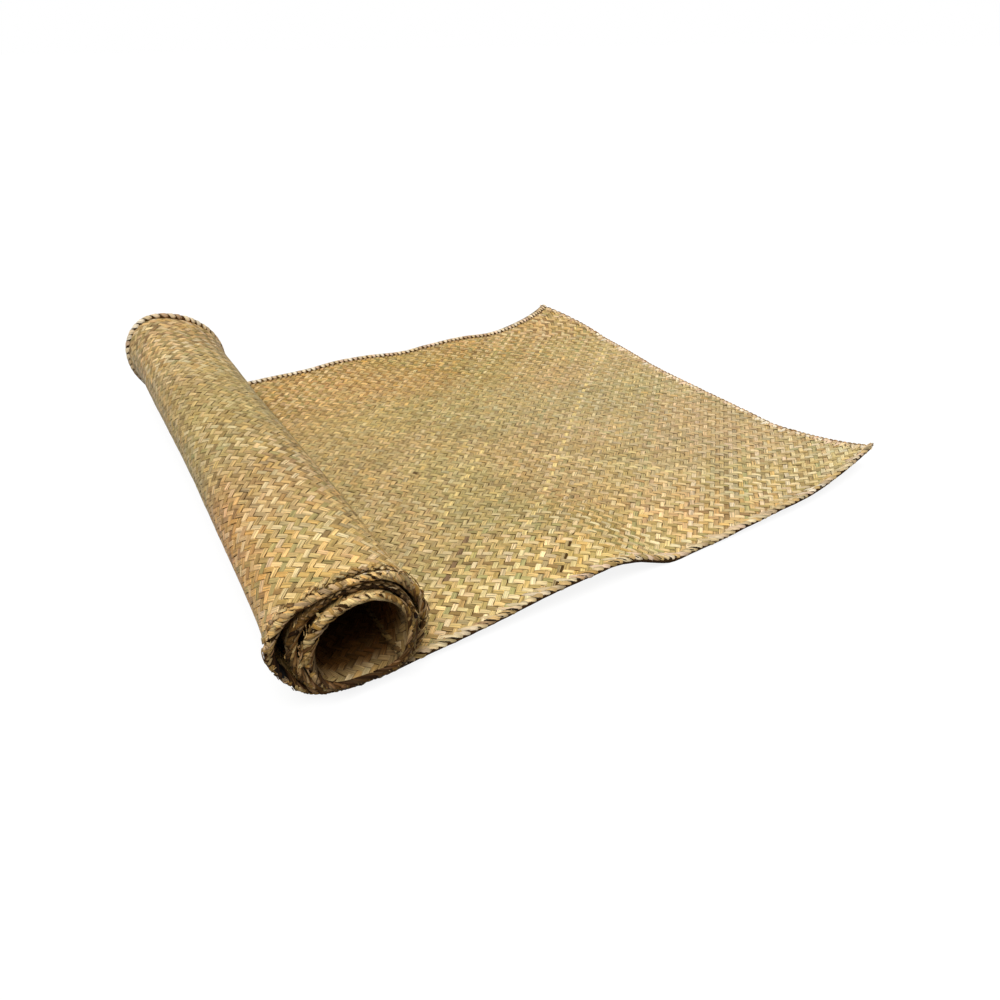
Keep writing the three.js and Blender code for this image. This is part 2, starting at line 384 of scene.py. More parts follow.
def new_piece(name, points, faces, material):
    """A smoothly shaded object of the scene."""
    mesh = bpy.data.meshes.new(name)
    mesh.from_pydata(points.tolist(), [], faces)
    mesh.polygons.foreach_set("use_smooth", np.ones(len(mesh.polygons), bool))
    mesh.materials.append(material)
    piece = bpy.data.objects.new(name, mesh)
    scene.collection.objects.link(piece)
    return piece


class Bundle:
    """Ribbons in the chart, gathered into one piece."""

    def __init__(self, flat, painted_side_shade=1.0):
        self.flat = flat  # a flat strip with square sides, or a strand with two thin edges
        # a strand's two thin side edges are darkened by this share: painted shade in the gaps between
        # strands
        self.painted_side_shade = np.array([painted_side_shade, 1, painted_side_shade, 1])[:, None]
        self.points, self.colours, self.fibres, self.creases, self.counts = [], [], [], [], []

    def add(self, centre, half_width, thickness, up, shades, tilt=0.0, creased=False, sides=1.0):
        """A ribbon along centre, n points in the chart. The other values are n each, or one for all."""
        n = len(centre)
        ahead = np.gradient(centre, axis=0)
        ahead /= np.linalg.norm(ahead, axis=1, keepdims=True)
        side = np.cross(np.broadcast_to(up, (n, 3)), ahead)
        side /= np.linalg.norm(side, axis=1, keepdims=True)
        top = np.cross(ahead, side)
        side = side + np.broadcast_to(tilt, n)[:, None] * top
        wide = np.broadcast_to(half_width, n)[:, None]
        thick = np.broadcast_to(thickness, n)[:, None] / 2
        if self.flat:
            corners = ((1, 1), (-1, 1), (-1, -1), (1, -1))
        else:
            corners = ((1, 0), (0, 1), (-1, 0), (0, -1))
        rings = [centre + side * wide * a + top * thick * b for a, b in corners]
        self.points.append(np.stack(rings, 1))
        shades = np.broadcast_to(np.asarray(shades).reshape(-1, 1, 3), (n, 4, 3))
        self.colours.append(shades * self.painted_side_shade * np.array([sides, 1, sides, 1])[:, None])
        self.creases.append(np.broadcast_to(creased, n))
        run = np.concatenate([[0], np.cumsum(np.linalg.norm(np.diff(centre, axis=0), axis=1))])
        fibre = np.zeros((n, 4, 3))
        fibre[..., 0] = run[:, None]
        fibre[..., 1] = wide * np.array([a for a, b in corners])
        fibre[..., 2] = uniform(0, 900)
        self.fibres.append(fibre)
        self.counts.append(n)

    def build(self, name, material):
        """The piece with all its ribbons, each closed at both ends."""
        chart = np.concatenate(self.points).reshape(-1, 3)
        points = lay(chart[:, 0], chart[:, 1], chart[:, 2])
        faces, first = [], 0
        for n in self.counts:
            rings = first + 4 * np.arange(n)[:, None] + np.arange(4)
            after = np.roll(rings, -1, axis=1)
            round_it = np.stack([rings[:-1], after[:-1], after[1:], rings[1:]], -1)
            faces += [round_it.reshape(-1, 4), rings[:1, ::-1], rings[-1:]]
            first += 4 * n
        piece = new_piece(name, points, np.concatenate(faces).tolist(), material)
        mesh = piece.data
        ends = np.zeros(2 * len(mesh.edges), np.int32)
        mesh.edges.foreach_get("vertices", ends)
        ends = ends.reshape(-1, 2)
        lengthwise = ends[:, 0] % 4 == ends[:, 1] % 4
        outer = self.flat | (ends[:, 0] % 2 == 0)
        crease = np.concatenate(self.creases)[ends[:, 0] // 4]
        sharp = np.where(lengthwise, outer, crease)
        mesh.attributes.new("sharp_edge", "BOOLEAN", "EDGE").data.foreach_set("value", sharp)
        shades = np.ones((len(points), 4), np.float32)
        shades[:, :3] = np.concatenate(self.colours).reshape(-1, 3)
        layer = mesh.attributes.new("strip_colour", "FLOAT_COLOR", "POINT")
        layer.data.foreach_set("color", shades.ravel())
        fibres = np.concatenate(self.fibres).reshape(-1, 3).astype(np.float32)
        layer = mesh.attributes.new("fibre", "FLOAT_VECTOR", "POINT")
        layer.data.foreach_set("vector", fibres.ravel())
        return piece


# ---- Materials ----


def calculate(tree, operation, *values):
    """A Math node's result. Each value is a number or another node's output."""
    node = tree.nodes.new("ShaderNodeMath")
    node.operation = operation
    for socket, value in zip(node.inputs, values):
        if isinstance(value, float):
            socket.default_value = value
        else:
            tree.links.new(value, socket)
    return node.outputs[0]


def new_material(name):
    """A material, its node tree and its shader."""
    material = bpy.data.materials.new(name)
    material.use_nodes = True
    return material, material.node_tree, material.node_tree.nodes["Principled BSDF"]


USUAL = (0.3, 0.7)  # a noise texture lies mostly between these


def strip_material(name, roughness, bump, streaks, shine=0.3):
    """Dried leaf strips: each strip's own colour, with lengthwise fibres, streaks and small stains."""
    material, tree, shader = new_material(name)
    nodes, links = tree.nodes, tree.links
    own = nodes.new("ShaderNodeAttribute")
    own.attribute_name = "strip_colour"
    fibre = nodes.new("ShaderNodeAttribute")
    fibre.attribute_name = "fibre"

    def noise(stretch, detail):
        scale = nodes.new("ShaderNodeVectorMath")
        scale.operation = "MULTIPLY"
        scale.inputs[1].default_value = stretch
        links.new(fibre.outputs["Vector"], scale.inputs[0])
        texture = nodes.new("ShaderNodeTexNoise")
        texture.inputs["Scale"].default_value = 1.0
        texture.inputs["Detail"].default_value = detail
        links.new(scale.outputs[0], texture.inputs["Vector"])
        return texture.outputs["Fac"]

    def shaped(value, low, high, to_low, to_high):
        spread = nodes.new("ShaderNodeMapRange")
        for socket, number in zip(spread.inputs[1:5], (low, high, to_low, to_high)):
            socket.default_value = number
        links.new(value, spread.inputs["Value"])
        return spread.outputs["Result"]

    def times(colours, value):
        product = nodes.new("ShaderNodeVectorMath")
        product.operation = "SCALE"
        links.new(colours, product.inputs[0])
        links.new(value, product.inputs["Scale"])
        return product.outputs[0]

    fine = noise((0.05, 2.6, 1.0), 3.0)
    broad = noise((0.03, 0.8, 1.0), 1.0)
    stain = noise((0.12, 0.35, 1.0), 2.0)
    parts = nodes.new("ShaderNodeSeparateXYZ")
    links.new(fibre.outputs["Vector"], parts.inputs[0])
    from_middle = calculate(tree, "ABSOLUTE", parts.outputs["Y"])
    tone = own.outputs["Color"]
    for value, *spread in (
        (fine, *USUAL, 0.8, 1.18),
        (broad, *USUAL, *streaks),
        (broad, 0.27, 0.36, 0.66, 1.0),  # dark splits
        (stain, 0.6, 0.75, 1.0, 0.7),
        (from_middle, 2.3, 3.0, 1.0, 0.86),  # painted shade: darker at the sides, where the strips meet
    ):
        tone = times(tone, shaped(value, *spread))
    shader.inputs["Specular IOR Level"].default_value = shine
    links.new(tone, shader.inputs["Base Color"])
    links.new(shaped(fine, *USUAL, roughness + 0.12, roughness - 0.08), shader.inputs["Roughness"])
    relief = nodes.new("ShaderNodeBump")
    relief.inputs["Strength"].default_value = bump
    relief.inputs["Distance"].default_value = 0.0004
    links.new(fine, relief.inputs["Height"])
    links.new(relief.outputs["Normal"], shader.inputs["Normal"])
    return material


def dark_material(name, low, high):
    """The shaded inside of the plait or of a rim, mottled from a low to a high colour."""
    material, tree, shader = new_material(name)
    nodes, links = tree.nodes, tree.links
    shader.inputs["Roughness"].default_value = 0.9
    shader.inputs["Specular IOR Level"].default_value = 0.1
    texture = nodes.new("ShaderNodeTexNoise")
    texture.inputs["Scale"].default_value = 400.0
    ramp = nodes.new("ShaderNodeValToRGB")
    ramp.color_ramp.elements[0].color = (*colour(low), 1)
    ramp.color_ramp.elements[1].color = (*colour(high), 1)
    links.new(texture.outputs["Fac"], ramp.inputs["Fac"])
    links.new(ramp.outputs["Color"], shader.inputs["Base Color"])
    return material


shadow_material = dark_material("plait_shadow", 0x3E2C14, 0x6A502C)
# the fillings at the front, back and inner end are dark as painted shade in the rim's gaps; the loose
# end's is pale
rim_materials = dict(
    front=dark_material("front_filling_painted_shade", 0x2C1C0C, 0x4C3419),
    back=dark_material("back_filling_painted_shade", 0x4A321A, 0x6E4E2C),
    end=dark_material("end_filling", 0xC8AC80, 0xE0C8A0),
)
rim_materials["inner"] = rim_materials["back"]
plait_material = strip_material("plait_strips", 0.55, 0.5, (0.66, 1.32))
edge_material = strip_material("edge_strips", 0.65, 0.7, (0.82, 1.18))
worn_material = strip_material("worn_strips", 0.7, 0.7, (0.6, 1.35), shine=0.1)

# ---- The plait ----

ROWS = 176  # crossings across the mat
STEP_V = WIDTH / ROWS
COLUMNS = 2 * round(LENGTH / STEP_V / 2)  # crossings along the mat
STEP_U = LENGTH / COLUMNS
STRIP = STEP_V * math.sqrt(2)  # from one strip to the next
LAYER = 0.82  # how far a strip lies over or under the middle
PLY = 0.55  # a strip's thickness
CROWN = 0.2  # how much a float stands up between its ends
TURN = 0.19  # half of a strip's way from over to under, in crossings
BENDS = (TURN - 0.5, 0.5, 1.5 - TURN, 1.5 + TURN, 2.5, 3.5 - TURN)  # a strip's bends in four crossings
RAGGED = 0.2  # how unevenly a strip lies
SPLIT = 0.16  # how unevenly it was split
WARM = np.array([0.016, -0.007, -0.036])  # what a warmer float gains in red, green and blue
HUE_NOISE = np.array([0.01, 0.009, 0.025])  # how much these vary

# strips that stand out: lean, number, colour, share of the full width, way aside, first and last row
ODD_STRIPS = (
    (-1, 89, 0xEBCF88, 1.0, 0, 44, 84),
    (-1, 71, 0xEDD28C, 1.0, 0, 22, 150),
    (1, 9, 0xECD494, 1.0, 0, 18, 68),
    (-1, 62, 0xB8A06C, 0.62, 1.2, 0, 18),
    (-1, 82, 0x8E7250, 0.96, 0, 20, 38),
    (1, 24, 0x6A5232, 0.9, 0, 76, 79),
    (-1, 44, 0xE6C98E, 1.0, 0, 20, 60),
)


def middle_height(u, v):
    """The height of the plait's middle above the mat's underside."""
    edge = np.minimum(np.minimum(u, LENGTH - u), np.minimum(v + WIDTH / 2, WIDTH / 2 - v))
    return BODY / 2 + (RIM - BODY) / 2 * falling(edge, 4, 14)


def strip_rows(lean, number):
    """The rows at which a strip bends, from one edge of the mat to another."""
    low, high = 0.5, ROWS - 0.5
    if lean > 0:
        low, high = max(low, 0.5 - 2 * number), min(high, COLUMNS - 0.5 - 2 * number)
    else:
        low, high = max(low, 2 * number - COLUMNS + 0.5), min(high, 2 * number - 0.5)
    if high - low < 1.5:
        return np.array([])
    rows = [four + bend for four in range(4 * int(low // 4) - 4, ROWS + 4, 4) for bend in BENDS]
    return np.array([low] + [row for row in rows if low + 0.1 < row < high - 0.1] + [high])


def strip_shades(number, floats, u, v):
    """A strip's colours: light and dark strips lie in turn, and each float differs a little."""
    chance = draw.random()
    if number % 2 == 0:
        own = pick(LIGHT) if chance < 0.8 else pick(MIDDLE)
    else:
        own = pick(DARK) if chance < 0.62 else pick(MIDDLE) if chance < 0.9 else pick(BROWN)
    shade = 1 + draw.normal(0, 0.08, ROWS)[floats]
    warmth = draw.normal(0, 1, ROWS)[floats] + draw.normal(0, 0.7)
    hue = 1 + warmth[:, None] * WARM + draw.normal(0, 1, (ROWS, 3))[floats] * HUE_NOISE
    return tinted(own, u, v) * shade[:, None] * hue


def add_strip(bundle, lean, number):
    """One strip from edge to edge. lean is 1 or -1: which way its column changes with its row."""
    row = strip_rows(lean, number)
    if not len(row):
        return
    phase = (row + 0.5) % 4
    over = np.where(phase < 2, 1.0, -1.0) * lean
    middle_of_float = np.abs(phase % 2 - 1) < 0.2
    keep = ~middle_of_float | (over > 0)
    row, over, middle_of_float = row[keep], over[keep], middle_of_float[keep]
    floats = np.floor((row + 0.5) / 2).astype(int) % ROWS
    lifts = draw.normal(0, 0.05, ROWS)[floats]
    drift = np.interp(row, np.arange(0, ROWS + 12, 12), draw.normal(0, 0.16, ROWS // 12 + 2))
    drift = drift + draw.normal(0, RAGGED, len(row))
    u = (2 * number + lean * row) * STEP_U + drift
    v = row * STEP_V - WIDTH / 2 - lean * drift
    height = over * np.where(middle_of_float, LAYER + CROWN, LAYER)
    centre = np.stack([u, v, middle_height(u, v) + height + lifts], 1)
    shades = strip_shades(number, floats, u, v)
    half_width = STRIP / 2 * uniform(0.96, 1.01) - np.abs(draw.normal(0, SPLIT, len(row)))
    for odd_lean, odd_number, code, share, aside, first, last in ODD_STRIPS:
        if (odd_lean, odd_number) == (lean, number):
            stretch = (row > first) & (row < last)
            shades[stretch] = colour(code)
            half_width[stretch] *= share
            centre[stretch, 0] += aside
            centre[stretch, 1] -= lean * aside
    tilt = draw.normal(0, 0.02, ROWS)[floats]
    bundle.add(centre, half_width, PLY, (0, 0, 1), shades, tilt, creased=~middle_of_float)


PARTS = 3  # the strips of each way fill this many pieces
plait_pieces = []
for lean, family in ((1, "falling"), (-1, "rising")):
    numbers = range(-ROWS // 2, COLUMNS // 2 + 1) if lean > 0 else range(0, (COLUMNS + ROWS) // 2 + 1)
    for part in range(PARTS):
        bundle = Bundle(flat=True)
        for number in numbers[part * len(numbers) // PARTS : (part + 1) * len(numbers) // PARTS]:
            add_strip(bundle, lean, number)
        plait_pieces.append(bundle.build(f"plait_{family}_{part + 1}", plait_material))

# ---- The rim: strips turned back round the edge ----

RIM_DEEP = 9.0  # from the edge inwards
LOOSE_RIM = dict(back=8.6, end=5.0, inner=4.8)  # the rim's height where nothing lies above it
LOWEST_RIM = 4.6  # the rim's least height
CLEARANCE = 0.6  # between a rim and the turn above it
UNDER_RIM = 0.1  # how far the rim keeps above the mat's underside
BEAD = 0.6  # half of a turned strip's thickness
RIM_HANGS = 2.6  # how far the front rim hangs where the mat stands off the floor
FRONT_OUT = 1.3  # how far the loose half's front rim stands out
# degrees turned, the roll's front rim's lowest and highest place, how far it stands out
FRONT_RIM = table(
    (0, 0.1, 5.6, 1.3), (30, -0.5, 6, 0.8), (60, -1.5, 7.5, 0), (90, -2, 9, 0),
    (120, -0.5, 9.5, 0.5), (150, 1.5, 10, 1.5), (190, 3.5, 12, 2.5), (240, 2, 12, 2),
    (270, 1.5, 10.5, 1), (300, 1, 9, 0.5), (330, 0, 6.5, 1), (380, 0, 5.8, 1.3),
    (420, -0.3, 7.8, 0.3), (450, 0, 9.8, 0), (480, 0.5, 10.3, 0), (510, 4, 9.3, -1),
    (540, 4.5, 8.3, -1.5), (570, 4.4, 7.6, -1.5), (600, 3.4, 7, -1), (630, 1.6, 7.3, 0),
    (690, 0, 6.8, 1), (750, 0, 6, 1.2), (780, -2, 6.5, 0.3), (810, -4.2, 7.8, 0),
    (850, -4.3, 9, 0.5), (880, -2, 9.3, 1), (910, 0, 8, 0.5), (1040, 0, 6.5, 0.5),
)
rim_low, rim_high, rim_out = curves(FRONT_RIM)
# degrees turned, how far the rim stands out of the roll at the back
BACK_OUT = table((40, 0), (90, 2.6), (150, 5), (185, 6.5), (215, 4.5), (245, 1), (290, 0))
(out_back,) = curves(BACK_OUT)


def raised(u):
    """1 where the front edge stands off the floor and its rim hangs a little, 0 elsewhere."""
    return smoothstep(u, 345, 385) * falling(u, 450, 485)


def rim_span(u, side):
    """The rim's lowest and highest place above the underside."""
    turned = turned_at_length(u)
    if side == "front":
        return rim_low(turned) - RIM_HANGS * raised(u), rim_high(turned)
    free = LOOSE_RIM[side]
    room = np.where(turned < 360, gap_second(turned % 360), gap_third(turned % 360)) - CLEARANCE
    room = np.where(turned > 720, free, room)
    beside_roll = falling(LOOSE_LENGTH - u, 10, 70)
    room = np.where(turned > 0, room, free + (gap_second(0) - CLEARANCE - free) * beside_roll)
    return UNDER_RIM - out_back(turned) * (side == "back"), np.clip(room, LOWEST_RIM, free)


def rim_place(u, side, angle, grow):
    """Distance in from the edge, and height, at an angle round the rim: 0 is furthest out, 90 on top."""
    low, high = rim_span(u, side)
    turn = np.radians(angle)
    half = (high - low) / 2 - BEAD
    away = RIM_DEEP / 2 - (RIM_DEEP / 2 - BEAD) * grow * np.cos(turn)
    if side == "front":
        away = away - np.where(u < LOOSE_LENGTH, FRONT_OUT, rim_out(turned_at_length(u)))
    return away, (low + high) / 2 + half * grow * np.sin(turn)


# each edge's start, direction, way inwards and length in the chart
EDGES = dict(
    front=((0, -WIDTH / 2), (1, 0), (0, 1), LENGTH),
    back=((0, WIDTH / 2), (1, 0), (0, -1), LENGTH),
    end=((0, -WIDTH / 2), (0, 1), (1, 0), WIDTH),
    inner=((LENGTH, -WIDTH / 2), (0, 1), (-1, 0), WIDTH),
)


def on_edge(side, along, away, height):
    """Chart places from places along an edge."""
    start, ahead, inward, length = (np.array(v, float) for v in EDGES[side])
    along = np.clip(along, 1.0, length - 1.0)
    spot = start + ahead * along[:, None] + inward * away[:, None]
    return np.column_stack([spot, height])


def length_on_edge(side, along):
    """The chart's u at places along an edge."""
    if side in ("front", "back"):
        return along
    return np.zeros_like(along) if side == "end" else np.full_like(along, LENGTH - 1)


# degrees round the rim from a strip's first point to its last
ROUND_RIM = np.array([150, 120, 90, 60, 28, -8, -45, -80, -115, -140.0])
BACK_RIM = np.array([172, 140, 110, 80, 48, 15, -20, -55, -90, -125, -155, -178.0])
OVER_RIM = np.array([150, 120, 95, 75, 60, 48, 38.0])
OUTER_ROW = np.array([12, -12, -36, -62, -90, -118, -145.0])
LIP_ROW = np.array([155, 130, 105, 80, 55, 30, 5, -15.0])
BROKEN_ROW = np.array([0, -14, -30, -46, -58.0])  # from a short broken strip's first point
LYING = np.array([1.0, 0.55, 0.25])  # shares of a long strip's way before it meets the rim
LYING_ABOVE = np.array([-0.5, 0.3, 1.2])  # its height above the plait there


def add_turned_strip(
    bundle, side, at, lean, reach, half_width, shades, grow, row=ROUND_RIM, widths=None, **look
):
    """One strip round the rim. lean is its way along for its way across, widths shares of its width."""
    angles = row + draw.normal(0, 2, len(row))
    across = np.r_[0, np.radians(-np.diff(row))].cumsum() * RIM_DEEP / 2
    furthest_out = np.argmin(np.abs(row))
    along = at + lean * (across - across[furthest_out])
    away, height = rim_place(length_on_edge(side, along), side, angles, grow)
    if reach > RIM_DEEP:
        meets_rim = RIM_DEEP * 0.8
        lying = meets_rim + (reach - meets_rim) * LYING
        surface = BODY / 2 + LAYER + PLY / 2 + LYING_ABOVE
        along = np.concatenate([along[1] - lean * (lying - away[1]), along[1:]])
        away = np.concatenate([lying, away[1:]])
        height = np.concatenate([surface, height[1:]])
        angles = np.concatenate([[180, 180, 180], angles[1:]])
    centre = on_edge(side, along, away, height)
    low, high = rim_span(length_on_edge(side, along), side)
    middle = on_edge(side, along, np.full_like(away, RIM_DEEP / 2), (low + high) / 2)
    outward = centre - middle
    outward[angles > 160] = (0, 0, 1)
    if widths is None:
        widths = np.ones(len(centre))
        widths[[0, -2, -1]] = (0.8, 0.95, 0.6)
    bundle.add(centre, half_width * widths, 2 * BEAD, outward, shades, **look)


def dark_ends(own, count, darkest):
    """A strip's colour at each of its points, with painted shade at both ends."""
    shades = np.tile(own, (count, 1))
    shades[[0, -1]] *= darkest
    return shades


PALE_CORNER = 260  # the front strips are paler up to here
FRONT_LEAN = -1.25  # their way along for their way across


def loose_front_strip(bundle, at, pale):
    """Along the loose half's front, pale strips go over the edge and end above its dark underside, which
    is painted shade.
    """
    lean = FRONT_LEAN * draw.normal(1, 0.12)
    further = uniform(-8, 32) if draw.random() < 0.65 else uniform(35, 85)
    row = OVER_RIM - np.linspace(0, 1, len(OVER_RIM)) * further
    if pale ^ (draw.random() < 0.15):
        shades, reach = pick(CREAM + LIGHT) * draw.normal(1, 0.05), uniform(11, 18)
    else:
        own = pick(LIGHT if at < PALE_CORNER else MIDDLE + LIGHT)
        shades, reach = own * draw.normal(0.96, 0.1), uniform(0, 16)
    add_turned_strip(bundle, "front", at, lean, reach, uniform(2.4, 3.0), shades, 1.0, row)


# degrees turned, how light the worn rim's outer and inner rows are: partly bleaching and wear, partly
# painted light, and painted shade between and under the turns
WEAR_AND_PAINTED_LIGHT = table(
    (0, 0.35, 0.4), (45, 0.8, 0.85), (75, 1.35, 0.02), (90, 1.1, 0.3),
    (105, 1.35, 2.1), (135, 1.6, 2.3), (165, 1.55, 1.8), (195, 2.1, 2.4),
    (225, 1.35, 1.3), (255, 1.2, 0.8), (285, 1.3, 0.85), (315, 1.4, 1.05),
    (345, 0.4, 0.4), (375, 0.35, 0.25), (405, 1.1, 0.75), (435, 0.55, 1),
    (465, 0.2, 1.4), (495, 0.45, 1.1), (525, 0.12, 0.6), (555, 0.08, 0.2),
    (585, 0.08, 0.35), (615, 0.45, 1.2), (645, 0.3, 0.5), (675, 1, 0.55),
    (705, 0.35, 0.2), (735, 0.45, 0.25), (765, 0.95, 0.5), (795, 1.05, 0.6),
    (825, 1.05, 1.6), (855, 1.4, 2), (885, 1.7, 2.3), (915, 1.45, 1.6),
    (945, 1.15, 1.35), (975, 0.75, 2.2), (1005, 0.45, 0.7), (1040, 0.9, 0.6),
)
outer_light, inner_light = curves(WEAR_AND_PAINTED_LIGHT)
DEEPENING = np.array([1, 1.12, 1.25])  # the darker a worn strip, the browner
BROKEN_LIGHT, BROKEN_ENDS = 1.12, 0.42  # how light a broken bit is beside its row, and its ends, darkened as painted shade in the cracks


def worn_look(palette, light, count):
    """A worn strip's shades, bleached where the rim is light and darker where the table paints shade,
    lifted as painted light where it goes above 1.3, and the painted shade of its sides.
    """
    if draw.random() < 1.4 * (light - 0.85):
        own = pick(BLEACHED) * uniform(0.6, 1.25)
    else:
        own = pick(palette) * uniform(0.55, 1.45)
    if draw.random() < 0.1:
        own = pick(RUSSET)
    own = own * min(light, 1) ** DEEPENING * np.interp(light, [1.3, 2.1], [1, 1.22])
    creased = draw.random(count) < 0.4
    sides = np.interp(light, [0.5, 1.3, 1.7], [0.5, 0.7, 0.9])
    return dark_ends(own, count, sides), dict(sides=sides, creased=creased)


def worn_strips(bundle, at):
    """At the roll's front: short folded strips, long ones inside them, and broken bits on top."""
    turned = turned_at_length(at)
    outer, inner = float(outer_light(turned)), float(inner_light(turned))
    for _ in range(draw.integers(2, 4)):
        shades, look = worn_look(WORN, outer, len(OUTER_ROW))
        half_width, grow = uniform(1.2, 2.5), uniform(0.84, 1.06)
        spot, lean = at + uniform(-4, 4), uniform(-1.6, 0.1)
        add_turned_strip(bundle, "front", spot, lean, 0, half_width, shades, grow, OUTER_ROW, **look)
    for _ in range(draw.integers(1, 4)):
        shades, look = worn_look(LIP, inner, len(LIP_ROW))
        half_width, grow = uniform(1.0, 2.1), uniform(0.84, 1.02)
        spot, lean = at + uniform(-4, 4), -uniform(1.0, 3.0)
        add_turned_strip(bundle, "front", spot, lean, 0, half_width, shades, grow, LIP_ROW, **look)
    for _ in range(draw.integers(0, 3)):
        row = uniform(-60, 90) + BROKEN_ROW
        shades, look = worn_look(WORN, outer if row[2] < 0 else inner, len(row))
        shades *= BROKEN_LIGHT
        shades[[0, -1]] *= BROKEN_ENDS
        spot, lean = at + uniform(-4, 4), uniform(-2.5, 0.8)
        half_width, grow = uniform(0.9, 1.7), uniform(1.04, 1.13)
        add_turned_strip(bundle, "front", spot, lean, 0, half_width, shades, grow, row, **look)


BACK_WIDTHS = np.array([0.3, 0.85, 1, 0.85, 0.7, 0.9, 1, 1, 1, 1, 0.85, 0.3])  # along a back strip
# the dark slits are painted shade in the gaps between strips
SLIT = colour(0x241C0C)
SLITS_END = 150  # dark slits lie between the strips this far along the end edge
BARE_CORNER = 7  # the back's turned strips stop this far from its corners
SIDE_SHADES = dict(front=0.75, back=0.85, end=1.0, inner=0.95)  # how light a turned strip is at its sides; below 1 it is painted shade between strips


def back_strip(bundle, at):
    """Along the back, pale or pinkish strips in a regular twist."""
    own = pick(CREAM if draw.random() < 0.75 else PINKISH) * draw.normal(1.12, 0.06)
    shades = dark_ends(own, len(BACK_RIM), 0.7)
    shades[3:5] *= draw.choice([[[0.55], [0.25]], [[1], [0.8]]])  # some are dark just outside the top: painted shade of the gaps between the strips
    lean, half_width = 0.8 * draw.normal(1, 0.03), uniform(3.3, 3.6)
    add_turned_strip(bundle, "back", at, lean, 0, half_width, shades, 1.0, BACK_RIM, BACK_WIDTHS)


def end_strip(bundle, at):
    """Along the loose end, a fine pale twist, with dark slits of painted shade in it near the front."""
    near = at < SLITS_END
    shades = pick(CREAM if near else PINKISH + CREAM + CREAM) * draw.normal(1.1, 0.07)
    reach = uniform(11, 15) if draw.random() < 0.4 else 0
    lean = -0.9 * draw.normal(1, 0.12)
    add_turned_strip(bundle, "end", at, lean, reach, uniform(3.3, 3.8), shades, 1.0)
    if near and draw.random() < 0.6:
        add_turned_strip(bundle, "end", at + STEP_V, -0.7, 0, uniform(0.8, 1.3), SLIT, 1.1)


def inner_strip(bundle, at):
    """Along the inner end, which lies in the roll's shade; its strips are darkened as painted shade."""
    shades = pick(WORN) * uniform(0.3, 0.42)
    add_turned_strip(bundle, "inner", at, 0.9, 0, uniform(3.5, 3.9), shades, 1.0)


def edge(side):
    """The turned strips along one edge. Those at the roll's front are a piece of their own."""
    bundle, worn = Bundle(flat=False, painted_side_shade=SIDE_SHADES[side]), Bundle(flat=False)
    length = EDGES[side][3]
    count = round(length / (2 * STEP_V))
    for k in range(count):
        at = (k + 0.5) * length / count + draw.normal(0, 0.5)
        if side == "front" and at > LOOSE_LENGTH + 10:
            worn_strips(worn, at)
        elif side == "front":
            loose_front_strip(bundle, at, k % 2 == 0)
        elif side == "end":
            end_strip(bundle, at)
        elif side == "inner":
            inner_strip(bundle, at)
        elif BARE_CORNER <= at <= length - BARE_CORNER:
            back_strip(bundle, at)
    built = [bundle.build(f"edge_{side}", edge_material)]
    if side == "front":
        built.append(worn.build("edge_roll_front", worn_material))
    return built


FILLING = 0.8  # the dark filling's share of the rim's size
# degrees round the rim, how much the filling swells where the strips leave it bare
BARE_BELOW = ((0, 0.2), (45, 0), (90, 0), (135, 0), (180, 0), (225, 0.3), (270, 0.45), (315, 0.45))


def rope(side):
    """The filling of the rim, seen only between the turned strips. Where it is dark it is painted shade,
    with some brown of strip ends; at the loose half's front it swells out below as the edge's dark
    underside.
    """
    length = EDGES[side][3]
    along = np.linspace(3, length - 3, round(length / 9))
    rings = []
    loose_front = (side == "front") * falling(along, LOOSE_LENGTH - 30, LOOSE_LENGTH)
    stands_out = 0.3 + 0.5 * raised(along) + uniform(-0.5, 0.5, len(along))
    for angle, bulge in BARE_BELOW:
        away, height = rim_place(length_on_edge(side, along), side, angle, FILLING + bulge * loose_front)
        out = stands_out * loose_front * (bulge > 0) * math.cos(math.radians(angle))
        rings.append(on_edge(side, along, away - np.maximum(out, 0), height))
    chart = np.stack(rings, 1).reshape(-1, 3)
    points = lay(chart[:, 0], chart[:, 1], chart[:, 2])
    at = np.arange(len(chart)).reshape(len(along), -1)
    after = np.roll(at, -1, axis=1)
    faces = np.stack([at[:-1], after[:-1], after[1:], at[1:]], -1).reshape(-1, 4).tolist()
    faces += [at[0][::-1].tolist(), at[-1].tolist()]
    if side in ("back", "end"):
        faces = [face[::-1] for face in faces]
    return new_piece(f"rope_{side}", points, faces, rim_materials[side])


edge_pieces = [piece for side in ("front", "back", "end", "inner") for piece in edge(side)]

# ---- Worn ends: folded strip ends, broken strips and loose fibres ----


def outer_side(turned, away):
    """The height of the rim's outer side at the roll's front, at a distance in from the edge."""
    low, high = (float(end[0]) for end in rim_span(np.array([at_turned(turned)]), "front"))
    across = max(0, 1 - away / (RIM_DEEP / 2))
    return (low + high) / 2 - (high - low) / 2 * math.sqrt(1 - across**2)


